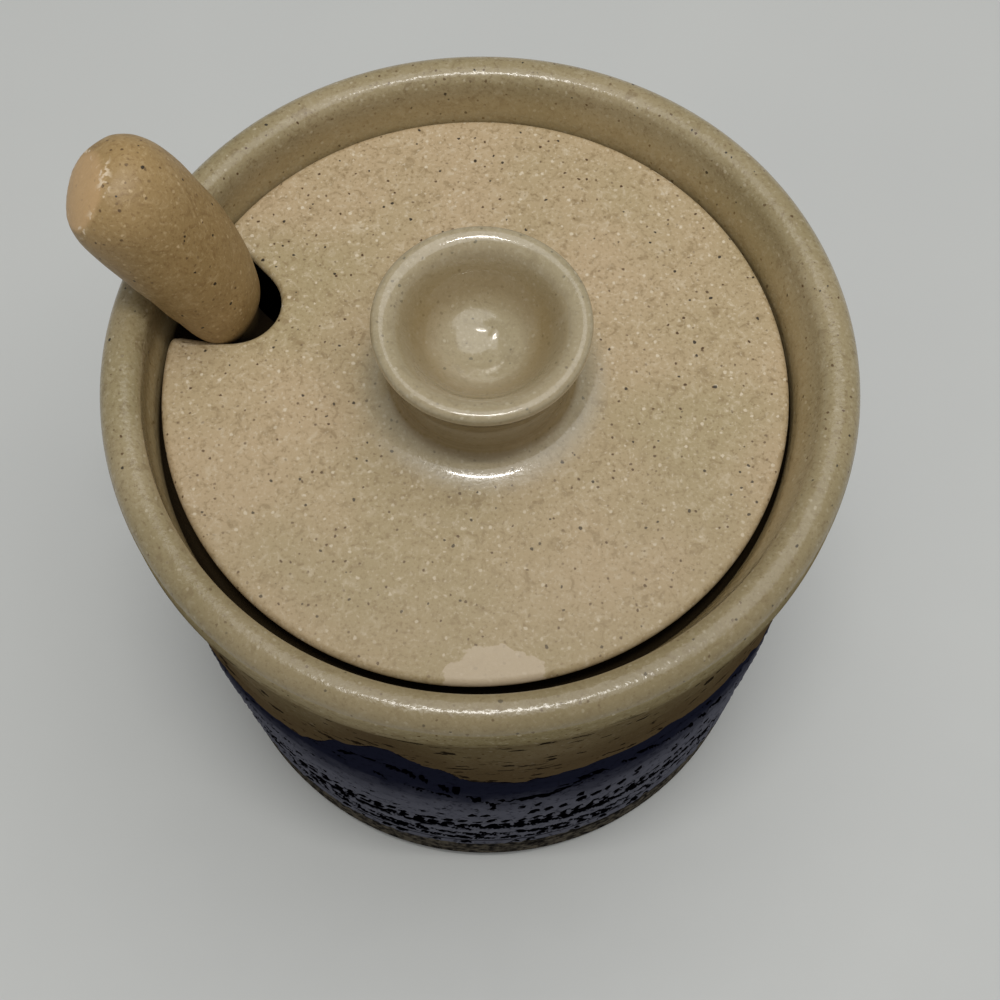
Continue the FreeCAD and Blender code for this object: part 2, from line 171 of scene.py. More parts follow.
def profile(corners):
    """Corners (across, up, rounding) to a finely stepped smooth line."""
    places = [np.array(corner[:2], float) for corner in corners]
    points = []
    for k, (here, corner) in enumerate(zip(places, corners)):
        if corner[2] == 0 or k in (0, len(corners) - 1):
            points.append(here)
        else:
            points += rounded(places[k - 1], here, places[k + 1], corner[2])
    return np.array(points)


print("a rounded corner has", len(profile([(0, 0, 0), (9, 0, 3), (9, 9, 0)])), "points")

# %% [markdown]
# Small even steps along the profile give evenly spaced rings, so that the
# marks come out equally fine everywhere.

# %% Even steps along a line
def lengths_along(points):
    """How far along a line each of its points lies."""
    return np.concatenate([[0], np.cumsum(np.hypot(*np.diff(points, axis=0).T))])


def walk(points, spacing):
    """Even steps along a line; spacing(across, up) is a length in mm."""
    path = lengths_along(points)
    across, up = points[:, 0], points[:, 1]
    stops, here = [0.0], 0.0
    while True:
        step = spacing(np.interp(here, path, across), np.interp(here, path, up))
        here += step
        if here > path[-1] - 0.5 * step:
            break
        stops.append(here)
    stops.append(path[-1])
    return np.interp(stops, path, across), np.interp(stops, path, up)


def normals_of(across, up):
    """Unit normals to the right-hand side of a walked line."""
    along = np.stack([np.gradient(across), np.gradient(up)])
    along /= np.hypot(*along)
    return along[1], -along[0]


print("3, 4, 5:", lengths_along(np.array([[0, 0], [3, 4]])))

# %% [markdown]
# Every piece is a skin of rings. The next helper joins rings of equally many
# points, closes the two ends with a fan, and turns the faces outwards. Numbers
# that are stored on the points become attributes, which a material can read
# with an Attribute node.

# %% Skins
def points_and_faces(rings):
    """Rings joined by quads, with a fan of triangles at each end."""
    count, around = rings.shape[:2]
    verts = rings.reshape(-1, 3).tolist()
    verts += [rings[0].mean(axis=0).tolist(), rings[-1].mean(axis=0).tolist()]
    index = np.arange(count * around).reshape(count, around)
    right = np.roll(index, -1, axis=1)
    quads = np.stack([index[:-1], right[:-1], right[1:], index[1:]], axis=-1)
    faces = quads.reshape(-1, 4).tolist()
    faces += [(count * around, b, a) for a, b in zip(index[0], right[0])]
    faces += [(count * around + 1, a, b) for a, b in zip(index[-1], right[-1])]
    return verts, faces


def make_skin(name, rings):
    """One object from rings, an array (ring, point, xyz) in mm."""
    verts, faces = points_and_faces(rings)
    mesh = bpy.data.meshes.new(name)
    mesh.from_pydata([[c * MM for c in v] for v in verts], [], faces)
    shell = bmesh.new()
    shell.from_mesh(mesh)
    bmesh.ops.recalc_face_normals(shell, faces=shell.faces)
    shell.to_mesh(mesh)
    shell.free()
    mesh.shade_smooth()
    piece = bpy.data.objects.new(name, mesh)
    bpy.context.scene.collection.objects.link(piece)
    print(name, "has", len(mesh.polygons), "faces")
    return piece


def store(piece, name, values):
    """Keep one number per point, for the material to read."""
    flat = np.append(np.ravel(values), [np.mean(values[0]), np.mean(values[-1])])
    layer = piece.data.attributes.new(name, "FLOAT", "POINT")
    layer.data.foreach_set("value", flat.astype(np.float32))

# %% [markdown]
# ## The pot
# The wall was thrown, so it carries faint spiral ridges. The upper part was
# dipped in a tan glaze that ran down in ragged swags over a blue-black slip.
# Rows of short dashes were pressed into the wall with a toothed wheel, and a
# few thin lines were turned into it with a point. The pattern is worked out
# first, as two fields over bearing and height: how far a point lies above the
# glaze's edge, and how near it lies to a dash.

# %% The glaze's edge
def closed_line(points, bearing):
    """The height at a bearing of a closed line through (degrees, height)."""
    table = np.array(sorted(points))
    table = np.concatenate([table - [360, 0], table, table + [360, 0]])
    return np.interp(np.degrees(bearing) % 360, table[:, 0], table[:, 1])


GLAZE_EDGE = [(237, 63), (243, 67), (246, 74), (251, 78), (254, 79), (259, 75), (264, 72),
              (267, 66.6), (277, 65.7), (287, 68), (294, 70), (304, 69), (310, 67),
              (318, 69), (325, 64), (334, 66), (342, 73), (350, 76), (358, 70),
              (8, 65), (20, 63), (33, 68), (45, 74), (58, 71), (70, 64), (84, 66),
              (97, 72), (112, 77), (126, 72), (138, 65), (152, 63), (166, 68),
              (180, 75), (193, 77), (206, 70), (219, 65), (228, 62)]


def above_glaze_edge(bearing, height):
    """Height over the ragged lower edge of the tan glaze, mm."""
    sway = 0.02 * np.sin(9 * bearing + 0.2 * height)
    ragged = wobble(11 * bearing, 0.0, 21, 6) * 0.7 + wobble(37 * bearing, 0.0, 22, 4) * 0.35
    return height - closed_line(GLAZE_EDGE, bearing + sway) - ragged


print("the glaze ends between %.0f and %.0f mm up" % (
    min(p[1] for p in GLAZE_EDGE), max(p[1] for p in GLAZE_EDGE)))

# %% [markdown]
# A toothed wheel rolled over the clay leaves a row of short dashes. Each row
# here follows a wavy line round the pot; every dash is a small ellipse on it
# with its own slant and length.

# %% One row of dashes
WALL_RADIUS = 53.0


def dash_row(line, pitch, length, width, slant, seed, keep):
    """Dashes along a line: bearing, height, half sizes, slant each."""
    dice = np.random.default_rng(seed)
    count = int(FULL_TURN * WALL_RADIUS / pitch)
    bearing = (np.arange(count) + dice.uniform(-0.12, 0.12, count)) * FULL_TURN / count
    height = line(bearing) + dice.normal(0, 0.3, count)
    grade = np.gradient(line(bearing), WALL_RADIUS * FULL_TURN / count)
    angle = np.arctan(grade) + math.radians(slant) + dice.normal(0, 0.1, count)
    half_length = length / 2 * dice.uniform(0.8, 1.2, count)
    half_width = width / 2 * dice.uniform(0.85, 1.15, count)
    rows = np.stack([bearing, height, half_length, half_width, angle], axis=1)
    return rows[dice.uniform(size=count) < keep]


def wave_line(height, swing, seed):
    return lambda bearing: height + swing * wobble(bearing, 0.0, seed, 7)


print("the dashes lie on a radius of", WALL_RADIUS, "mm")

# %% [markdown]
# The uppermost rows climb and dive between the swags of glaze, so their line
# is listed point by point. The rows below run level, like ropes wound round the pot.

# %% All the rows
UPPER_LINE = [(247, 68), (253, 68.5), (258, 66), (262, 61), (266, 59), (268, 54), (272, 49.5),
              (276, 53), (281, 54), (284, 58), (288, 60), (300, 58), (312, 54), (325, 50),
              (340, 54), (356, 60), (12, 56), (28, 50), (45, 53), (60, 60), (78, 57),
              (95, 50), (112, 53), (130, 60), (146, 58), (160, 50), (176, 52), (194, 60),
              (210, 55), (225, 47), (236, 47), (242, 57)]


def upper_line(swung=0.0, raised=0.0):
    return lambda bearing: closed_line(UPPER_LINE, bearing + swung) + raised


DASHES = np.concatenate([dash_row(*row) for row in (
    # line, pitch, length, width, slant in degrees, seed, share that is kept
    (upper_line(), 2.5, 4.6, 1.2, -38, 31, 0.85),
    (upper_line(0.9, 2.6), 2.5, 4.2, 1.1, -30, 32, 0.55),
    (wave_line(43.0, 1.8, 32), 2.6, 2.8, 1.5, 75, 33, 0.7),
    (wave_line(38.0, 2.2, 34), 2.5, 3.0, 1.6, 70, 35, 1.0),
    (wave_line(33.0, 1.4, 36), 2.5, 2.8, 1.6, 70, 37, 1.0),
    (wave_line(47.5, 2.0, 31), 2.5, 2.4, 1.3, 80, 30, 0.45),
    (wave_line(28.6, 1.4, 38), 2.3, 5.8, 1.6, -52, 39, 1.0),
    (wave_line(23.4, 1.3, 39), 2.3, 5.0, 1.6, -60, 40, 1.0),
    (wave_line(18.8, 1.2, 40), 2.4, 4.8, 1.7, -50, 41, 1.0),
    (wave_line(13.8, 0.6, 42), 2.9, 2.6, 1.4, 30, 43, 0.5))])
print(len(DASHES), "dashes")

# %% [markdown]
# Nearness to a dash is measured in dash sizes, so a value below 1 lies inside
# one. The dent, its lip and its colour all come from this one field.

# %% How near a point lies to a dash
NO_DASH = 3.0


def nearness_to_dash(bearing, height):
    """0 in the middle of a dash, 1 at its edge, NO_DASH at most."""
    nearest = np.full(bearing.shape, NO_DASH)
    for mark_bearing, mark_height, half_length, half_width, slant in DASHES:
        rows = np.abs(height[:, 0] - mark_height) < 5
        if not rows.any():
            continue
        around = (bearing[rows] - mark_bearing + math.pi) % FULL_TURN - math.pi
        around = around * WALL_RADIUS
        up = height[rows] - mark_height
        along = around * math.cos(slant) + up * math.sin(slant)
        across = up * math.cos(slant) - around * math.sin(slant)
        size = np.hypot(along / half_length, across / half_width)
        nearest[rows] = np.minimum(nearest[rows], size)
    return nearest


print("a dash is felt out to", NO_DASH, "times its size")

# %% [markdown]
# Now the pot's own skin: one profile from the middle of the foot, up the
# outside, over the rolled lip, down the gallery that takes the lid, round the
# ledge and down the inside wall. Each inset is measured from the lip's outside.

# %% The pot's profile
FOOT_INSET, WALL_INSET, NECK_INSET = 4.3, 1.8, 2.3
LIP_ROUND, LIP_INSET = 3.28, 5.6
GALLERY_INSET, LEDGE_INSET, INSIDE_INSET = 8.1, 11, 8
FLOOR_THICK = 7
POT_PROFILE = profile([
    (0, 0, 0), (RIM_RADIUS - FOOT_INSET, 0, 0.7), (RIM_RADIUS - 3.1, 1.2, 0.7),
    (RIM_RADIUS - WALL_INSET, 46, 40), (RIM_RADIUS - NECK_INSET, JAR_HEIGHT - 9.9, 2.0),
    (RIM_RADIUS, JAR_HEIGHT - 7.6, 1.1), (RIM_RADIUS, JAR_HEIGHT, LIP_ROUND),
    (RIM_RADIUS - LIP_INSET, JAR_HEIGHT, 2.5), (RIM_RADIUS - 8.0, JAR_HEIGHT - 8.6, 4),
    (RIM_RADIUS - GALLERY_INSET, LEDGE, 0.6), (RIM_RADIUS - LEDGE_INSET, LEDGE, 0.8),
    (RIM_RADIUS - LEDGE_INSET, LEDGE - 3.4, 1.2),
    (RIM_RADIUS - INSIDE_INSET, LEDGE - 7.9, 3),
    (RIM_RADIUS - INSIDE_INSET, FLOOR_THICK, 6), (0, FLOOR_THICK, 0)])
print("the profile is %.0f mm long" % lengths_along(POT_PROFILE)[-1])

# %% [markdown]
# The rings lie closest on the lip and on the wall with its dashes. Wider steps
# inside the pot keep the mesh light.

# %% The pot's rings
LIP_STEP, WALL_STEP, HIDDEN_STEP = 0.5, 0.62, 2.4
POT_AROUND = 540


def pot_step(across, up):
    """How far it is to the next ring, mm."""
    if across > RIM_RADIUS - 7.9 and up > 80:
        return LIP_STEP
    if across > RIM_RADIUS - 5:
        return WALL_STEP
    return HIDDEN_STEP


POT_R, POT_Z = walk(POT_PROFILE, pot_step)
POT_OUT, POT_UP = normals_of(POT_R, POT_Z)
bearing = np.arange(POT_AROUND) * FULL_TURN / POT_AROUND
bearing, radius = np.meshgrid(bearing, POT_R)
height = np.repeat(POT_Z[:, None], POT_AROUND, axis=1)
print(len(POT_R), "rings of", POT_AROUND, "points")

# %% [markdown]
# The profile's highest point parts the outside from the inside. The first
# marks on the wall are the wheel's; they fade at the foot and under the lip.

# %% The wall and the marks of the wheel
outside = np.arange(len(POT_R)) <= int(np.argmax(POT_Z))
outside = np.repeat(outside[:, None], POT_AROUND, axis=1)
inside = ~outside
on_wall = outside & (radius > RIM_RADIUS - 4.2)
wall_share = np.where(on_wall, smooth(0.5, 2.5, height) * (1 - smooth(90, 96, height)), 0)

# slow unevenness, the wide spiral of the fingers, the fine one of the rib
UNEVENNESS = 0.22
SPIRAL, SPIRAL_PITCH = 0.10, 5.6
FINE_SPIRAL, FINE_PITCH = 0.05, 2.1
push = wall_share * UNEVENNESS * wobble(bearing, height, 3)
push += wall_share * SPIRAL * np.sin(FULL_TURN * height / SPIRAL_PITCH + bearing)
sway = 0.6 * np.sin(3 * bearing)
push += wall_share * FINE_SPIRAL * np.sin(FULL_TURN * height / FINE_PITCH + bearing + sway)
print("the wheel's marks are up to %.2f mm high" % push.max())

# %% [markdown]
# The tan glaze lies on the wall as a thin coat, with a bead along its lower
# edge where the run stopped. Each tooth pressed a dash into the clay and
# pushed up a low lip round it.

# %% Coat of glaze and pressed dashes
GLAZE_COAT, GLAZE_BEAD = 0.22, 0.16
DASH_DEPTH, DASH_LIP = 0.75, 0.12
glaze_over = above_glaze_edge(bearing, height)
dash = np.where(on_wall, nearness_to_dash(bearing, height), NO_DASH)
covered = smooth(-0.2, 0.9, glaze_over)
push += wall_share * (GLAZE_COAT * covered + GLAZE_BEAD * bump(0.9, 1.4, glaze_over))
push -= wall_share * DASH_DEPTH * (1 - smooth(0.55, 1.15, dash)) * (1 - covered)
push += wall_share * DASH_LIP * bump(1.35, 0.3, dash) * (1 - covered)
print("%.0f %% of the wall is glazed" % (100 * covered[on_wall].mean()))

# %% [markdown]
# Thin wavering lines were turned into the wall with a point. Those near the
# foot are the deepest.

# %% Turned lines
TURNED_LINES = ((9.0, 0.5), (11.6, 0.35), (15.6, 0.4), (30.9, 0.25), (35.6, 0.2), (45.2, 0.2))
NO_LINE = 5.0
groove_near = np.full(radius.shape, NO_LINE)
for level, depth in TURNED_LINES:
    line = level + (0.5 + depth) * wobble(bearing, 0.0, int(level))
    push -= wall_share * depth * bump(0.0, 1.1, height - line)
    groove_near = np.minimum(groove_near, np.abs(height - line) * 0.55 / depth)
print("the wall's marks reach %.2f mm in and %.2f mm out" % (-push.min(), push.max()))

# %% [markdown]
# The rim of such a pot is a little out of round: it bulges to one side, and
# its crest rises and falls. Inside, the wall keeps the swing of the fingers.

# %% The rim and the inside wall
BULGE_WAY = math.radians(60)
SWING, SWING_PITCH = 0.35, 8.5
lifted = smooth(JAR_HEIGHT - 20, JAR_HEIGHT - 3, height) * (radius > RIM_RADIUS - 12)
bulge = 0.37 + 0.3 * np.maximum(0, np.cos(bearing - BULGE_WAY)) ** 3
push_rim = lifted * (bulge + 0.12 * wobble(bearing, 0.0, 5))
rise = lifted * 0.35 * wobble(bearing, 0.0, 6) * smooth(JAR_HEIGHT - 10, JAR_HEIGHT, height)
throw = np.where(inside & (height < LEDGE - 5) & (height > 9),
                 SWING * np.sin(FULL_TURN * height / SWING_PITCH + bearing), 0)
print("the rim moves out by up to %.2f mm" % push_rim.max())

# %% [markdown]
# The lid drops into the gallery, which sits a little off the pot's axis. At
# the front the lip was thrown thinner, which leaves a wider gap to the lid.

# %% The gallery
FRONT_WAY = math.radians(-106)
THINNER = 0.8
by_gallery = inside & (radius > RIM_RADIUS - 9.5)
gallery = by_gallery & (height > LEDGE - 1.5)
gallery = gallery * smooth(JAR_HEIGHT - 1.5, JAR_HEIGHT - 7, height)
front = np.maximum(0, np.cos(bearing - FRONT_WAY)) ** 1.5
roll = THINNER * by_gallery * smooth(JAR_HEIGHT, JAR_HEIGHT - 3, height)
roll = roll * smooth(LEDGE - 2, LEDGE, height) + THINNER * gallery
print("at the front the gap is wider by up to %.1f mm" % (roll * front).max())

# %% [markdown]
# Every push is added up, and the rings become one object, which takes the
# place of the plain jar and rides on the same body.

# %% Build the pot
new_radius = radius + push * POT_OUT[:, None] + push_rim + throw + roll * front
new_height = height + push * POT_UP[:, None] + rise
POT_RINGS = np.stack([new_radius * np.cos(bearing) - 0.45 * lifted - 0.95 * gallery,
                      new_radius * np.sin(bearing) + 0.8 * lifted, new_height], axis=-1)
jar = make_skin("jar_stoneware", POT_RINGS)
store(jar, "glaze_over", np.where(on_wall, glaze_over, 20.0))
store(jar, "dash", dash)
store(jar, "groove", np.where(on_wall, groove_near, NO_LINE))
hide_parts("jar")
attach(jar, "root")

# %% [markdown]
# ## The lid
# The lid is a thin domed disc that drops onto the ledge. Its knob is thrown as
# a tiny cup with a flaring neck, and a notch lets the spoon's handle out. The
# notch is why a plain turned profile is not enough: the lid's outline is drawn
# first as a closed curve, and the rings of the skin change from
# circles round the knob to offsets of that outline at the edge.

# %% The notch
NOTCH_BEARING = math.radians(160.1)
NOTCH_TURN = math.radians(150.0)
NOTCH_FLARE = math.radians(19.5)
NOTCH_END = 6.9
NOTCH_OUT = 39.0


def way(angle):
    """A step of 1 mm in that direction."""
    return np.array([math.cos(angle), math.sin(angle)])


def notch_side(sign):
    """Where one straight side leaves the round end, and meets the edge."""
    run = way(NOTCH_TURN + sign * NOTCH_FLARE)
    first = NOTCH_OUT * way(NOTCH_BEARING)
    first = first + NOTCH_END * way(NOTCH_TURN + sign * (NOTCH_FLARE + math.pi / 2))
    dot = first @ run
    return first, first + run * (math.sqrt(dot * dot + LID_RADIUS ** 2 - first @ first) - dot)


LEFT_IN, LEFT_OUT = notch_side(1)
RIGHT_IN, RIGHT_OUT = notch_side(-1)
print("the notch is %.1f mm wide at the edge" % np.linalg.norm(LEFT_OUT - RIGHT_OUT))

# %% [markdown]
# The outline goes round the disc, down one side of the notch, round its end
# and back along the other.

# %% Draw the outline
begin = math.atan2(LEFT_OUT[1], LEFT_OUT[0])
end = math.atan2(RIGHT_OUT[1], RIGHT_OUT[0]) + FULL_TURN
disc = [LID_RADIUS * way(a) for a in np.linspace(begin, end, 3000)]
turned = np.linspace(NOTCH_TURN - NOTCH_FLARE - math.pi / 2,
                     NOTCH_TURN + NOTCH_FLARE - 1.5 * math.pi, 300)
tip = [NOTCH_OUT * way(NOTCH_BEARING) + NOTCH_END * way(a) for a in turned]
sharp = np.array(disc + list(np.linspace(RIGHT_OUT, RIGHT_IN, 200)) + tip
                 + list(np.linspace(LEFT_IN, LEFT_OUT, 200)))
sharp = np.concatenate([sharp, sharp[:1]])
print("the outline is %.0f mm long" % lengths_along(sharp)[-1])

# %% [markdown]
# Cut clay is wiped with a wet sponge, which rounds every corner. A Gaussian
# blur along the closed line does the same, by shrinking its short waves.

# %% Soften its corners
OUTLINE_STEP, FINER = 0.62, 4
CORNER_BLUR = 1.1
path = lengths_along(sharp)
count = int(path[-1] / OUTLINE_STEP) * FINER
stops = np.arange(count) * path[-1] / count
waves = np.fft.fftfreq(count) * FULL_TURN * count / path[-1]
blur = np.exp(-0.5 * (waves * CORNER_BLUR) ** 2)
OUTLINE = np.stack([
    np.fft.ifft(np.fft.fft(np.interp(stops, path, sharp[:, k])) * blur).real[::FINER]
    for k in (0, 1)], axis=1)
side_way = np.roll(OUTLINE, -1, axis=0) - np.roll(OUTLINE, 1, axis=0)
side_way /= np.hypot(*side_way.T)[:, None]
INWARD = np.stack([-side_way[:, 1], side_way[:, 0]], axis=1)
print(len(OUTLINE), "points round the lid")

# %% [markdown]
# The knob is walked from the middle of its cup over its soft lip and down the
# hollow neck, out to a circle where the deck begins. Heights are measured from
# the knob's top.

# %% The knob
THICK = 5.5
DECK = LEDGE + THICK + 1.2
CIRCLE = 28.5
KNOB_LINE = np.array([
    (0, -9.6), (3, -9.2), (6, -7.95), (8.3, -6.3), (10, -4.3), (11, -2.6), (11.8, -1.3),
    (12.8, -0.45), (14.1, 0.0), (15.1, -0.15), (15.65, -0.8), (15.55, -1.9), (14.7, -3.6),
    (13.7, -6.0), (13.1, -9.0), (12.9, -12.0), (12.95, -14.2), (13.15, -14.9), (13.6, -15.6),
    (14.4, -16.3), (15.3, -16.8), (16.6, -17.15), (18.2, -17.4), (20.5, -17.6),
    (CIRCLE, -17.8)]) + [0, KNOB_TOP]
knob_r, knob_z = walk(KNOB_LINE, lambda r, z: 0.42 if r < 19 else 0.62)
for values in (knob_r, knob_z):
    values[2:-2] = np.convolve(values, [0.1, 0.24, 0.32, 0.24, 0.1], mode="valid")
print(len(knob_r), "rings in the knob")

# %% [markdown]
# Beyond the knob each ring is a mix of that circle and the outline. The deck
# falls a little towards its edge, so that water runs off it.

# %% The deck
EDGE_ROUND = 1.1


def ring(flat, level):
    """One ring from its points seen from above and their height."""
    return np.column_stack([flat, np.full(len(flat), level)])


lid_bearing = np.arctan2(OUTLINE[:, 1], OUTLINE[:, 0])
circle = np.stack([np.cos(lid_bearing), np.sin(lid_bearing)], axis=1)
rings = [ring(circle * r, z) for r, z in zip(knob_r, knob_z)]
inner = circle * CIRCLE
outer = OUTLINE + INWARD * EDGE_ROUND
for share in np.linspace(0, 1, 26)[1:]:
    flat = inner + (outer - inner) * share
    drop = 0.55 + 0.65 * smooth(CIRCLE, LID_RADIUS, np.hypot(*flat.T)) ** 0.8
    rings.append(ring(flat, DECK - drop))
print(len(rings), "rings so far")

# %% [markdown]
# The edge is rounded above, and its side slopes inwards below, since a lid
# that is wider at the top never jams. Underneath the lid is flat.

# %% Edge, side and underside
UNDERCUT = 1.9
UNDER_ROUND = 0.8
level = rings[-1][:, 2]
for turn_by in np.radians(np.arange(12, 91, 13)):
    flat = OUTLINE + INWARD * EDGE_ROUND * (1 - math.sin(turn_by))
    rings.append(ring(flat, level - EDGE_ROUND * (1 - math.cos(turn_by))))
level = rings[-1][:, 2]
for share in np.linspace(0, 1, 7)[1:]:
    flat = OUTLINE + INWARD * UNDERCUT * share
    rings.append(ring(flat, level + (LEDGE + UNDER_ROUND - level) * share))
for turn_by in np.radians([30, 60, 90]):
    flat = OUTLINE + INWARD * (UNDERCUT + UNDER_ROUND * (1 - math.cos(turn_by)))
    rings.append(ring(flat, LEDGE + UNDER_ROUND * (1 - math.sin(turn_by))))
under = OUTLINE + INWARD * (UNDERCUT + UNDER_ROUND)
for share in np.linspace(0, 1, 14)[1:]:
    rings.append(ring(under + (circle * 26 - under) * share, LEDGE))
rings += [ring(circle * r, LEDGE) for r in (22, 17, 12, 7, 3)]
print(len(rings), "rings in the lid")

# %% [markdown]
# Fingers leave shallow rings in the deck and a spiral in the knob's cup. Two
# tiny lumps on the cup's floor show where the clay was pressed last.

# %% Marks on the lid
x, y, z = np.moveaxis(np.array(rings), -1, 0)
r = np.hypot(x, y)
a = np.arctan2(y, x)
number = np.arange(len(rings))[:, None] + 0 * r
deck = (number >= len(knob_r) - 8) & (z > LEDGE + 3)
cup = number < int(np.argmax(knob_z))
lift = np.where(deck, 0.018 * np.sin(r * 1.35 + a) * smooth(17, 20, r), 0)
lift += np.where(deck, 0.16 * wobble(a, 0.1 * r, 51) * smooth(17, 22, r), 0)
in_cup = smooth(0.6, 3.0, r) * (1 - smooth(8, 10, r))
lift += np.where(cup, 0.05 * np.sin(r * 1.6 - a + 1.0) * in_cup, 0)
for lump_x, lump_y, tall, wide in ((1.6, 2.6, 0.16, 0.5), (-1.4, 2.2, 0.10, 0.9)):
    away = (x - lump_x) ** 2 + (y - lump_y) ** 2
    lift += np.where(cup, tall * np.exp(-away / wide), 0)
print("the lid's marks are up to %.2f mm high" % lift.max())

# %% [markdown]
# The lid lies a little off centre, and its knob is not quite round. Three masks
# are kept: where glaze pooled, where the cup is olive brown and the neck under
# its lip gets painted shade, and the bare patch.

# %% Build the lid
widen = np.where(z > DECK + 2, 1 + 0.006 * wobble(a, 0.2 * z, 53), 1.0)
spread = smooth(20, 45, r)
LID_RINGS = np.stack([x * widen * (1 + 0.01 * spread) - 0.2 - 1.05 * spread,
                      y * widen * (1 + 0.012 * spread) + 0.9, z + lift], axis=-1)
lid = make_skin("lid_stoneware", LID_RINGS)
fillet = bump(15.2, 4.6, r) * (z < DECK + 5) * (z > LEDGE + 3)
store(lid, "pooled", np.maximum(fillet, smooth(DECK + 1.5, DECK + 5, z)))
# The neck below the knob's lip is marked for painted shade.
shaded_neck = smooth(DECK + 0.9, DECK + 1.6, z) * smooth(KNOB_TOP - 1.5, KNOB_TOP - 3.5, z)
store(lid, "cup", np.where(cup, bump(9.2, 4.4, r), shaded_neck))
patch = np.hypot((x - 2.7) / 7.0, (y + 46.0) / 5.5)
store(lid, "bare", np.where(z > LEDGE + 2, patch, 3.0))
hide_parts("lid")
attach(lid, "root")

# %% [markdown]
# ## The spoon
# The spoon is rolled by hand from the same clay: a deep oval bowl, a thin neck
# and a thick handle that bends outwards. It is one skin of cross-sections. In
# the handle a section is an oval. In the bowl its back half stays full while
# its front half dips inwards, so the same points make the hollow.

# %% The spoon's own frame
SPOON_LEAN = math.radians(18.4)
SPOON_WAY = math.radians(165)
SPOON_FOOT = np.array([-9.0, 6.51, 7.45])
REACH = 91.6
BEND_RADIUS = 97.0
BEND = math.radians(15.4)
SIDE = np.array([*way(SPOON_WAY - math.pi / 2), 0])
LEVEL = np.array([*way(SPOON_WAY), 0])
UP = np.array([0, 0, 1.0])
SPOON_UP = math.cos(SPOON_LEAN) * UP + math.sin(SPOON_LEAN) * LEVEL
SPOON_BACK = math.cos(SPOON_LEAN) * LEVEL - math.sin(SPOON_LEAN) * UP
print("the handle's axis leaves the lid at", (SPOON_FOOT + REACH * SPOON_UP).round(1))

# %% [markdown]
# Each row of the table is a station along the spoon: how far up it lies, half
# its width, how far its back bulges and how far its front does. A negative
# front is the hollow of the bowl.

# %% Stations along the spoon
STATIONS = np.array([
    # up, half width, back, front
    (0.0, 0.3, 0.3, 0.3), (0.5, 2.9, 1.7, 0.4), (1.6, 4.9, 2.8, 0.2), (3.2, 6.9, 3.9, -0.9),
    (6.0, 9.0, 5.3, -2.6), (10.0, 10.9, 6.3, -3.8), (15.0, 11.9, 6.9, -4.5),
    (20.0, 11.8, 6.9, -4.4), (25.0, 10.2, 6.2, -3.2), (29.0, 7.7, 5.1, -0.8),
    (32.0, 5.6, 4.1, 2.2), (36.0, 4.6, 3.5, 3.2), (42.0, 5.0, 3.8, 3.6),
    (52.0, 5.5, 4.3, 4.0), (66.0, 5.0, 4.4, 3.4), (78.0, 4.2, 4.0, 2.8),
    (84.5, 3.9, 3.8, 2.5), (87.0, 4.6, 4.2, 2.9), (89.5, 6.2, 4.9, 4.0),
    (92.0, 7.3, 5.6, 4.9), (96.0, 8.1, 6.2, 5.8), (101.0, 8.6, 6.8, 6.5),
    (109.0, 9.1, 7.6, 7.4), (117.2, 9.3, 8.3, 8.3), (120.2, 9.1, 8.1, 8.1),
    (122.8, 8.2, 7.3, 7.3), (124.8, 6.6, 5.8, 5.8), (125.9, 4.7, 4.1, 4.1),
    (126.4, 2.6, 2.2, 2.2), (126.5, 0.4, 0.4, 0.4)])
SPOON_COUNT = 260
station_path = lengths_along(STATIONS[:, :2])
stops = np.linspace(0, station_path[-1], SPOON_COUNT)
UPS, WIDE, BACK, FRONT = (np.interp(stops, station_path, STATIONS[:, k]) for k in range(4))

# averaged over a few sections, so that the spoon has no kinks
SOFTEN, HALF_SPAN = 2.6, 6
kernel = np.exp(-0.5 * (np.arange(-HALF_SPAN, HALF_SPAN + 1) / SOFTEN) ** 2)
kernel /= kernel.sum()
for values in (WIDE, BACK, FRONT):
    values[HALF_SPAN:-HALF_SPAN] = np.convolve(values, kernel, mode="valid")
print("the spoon is %d mm long, its bowl %.1f mm wide" % (
    round(UPS[-1]), 2 * WIDE[UPS < 30].max()))

# %% [markdown]
# The axis is straight up to the notch and then bends outwards along an arc.
# Each section stands square to it.

# %% Sections along the bent axis
SPOON_AROUND = 120


def axis_point(up):
    """A point of the bent axis and the direction towards the back."""
    if up <= REACH:
        return np.array([0.0, up]), np.array([1.0, 0.0])
    turn = min((up - REACH) / BEND_RADIUS, BEND)
    extra = up - REACH - turn * BEND_RADIUS
    point = np.array([BEND_RADIUS * (1 - math.cos(turn)) + extra * math.sin(turn),
                      REACH + BEND_RADIUS * math.sin(turn) + extra * math.cos(turn)])
    return point, np.array([math.cos(turn), -math.sin(turn)])


angle = np.arange(SPOON_AROUND) * FULL_TURN / SPOON_AROUND
swell = np.sin(angle)
sections = []
for up, wide, back, front in zip(UPS, WIDE, BACK, FRONT):
    (off, high), lean = axis_point(up)
    across = wide * np.cos(angle) - 0.3 * float(smooth(60, 92, up))
    depth = np.where(swell >= 0, back * swell, front * swell)
    sections.append(np.stack([across, off + depth * lean[0], high + depth * lean[1]], axis=1))
LOCAL = np.array(sections)
print(len(LOCAL), "sections of", SPOON_AROUND, "points")

# %% [markdown]
# A handmade spoon is never straight: near the lid this one sways a little, most
# in its thin neck. Its dents come from the fingers that rolled it.

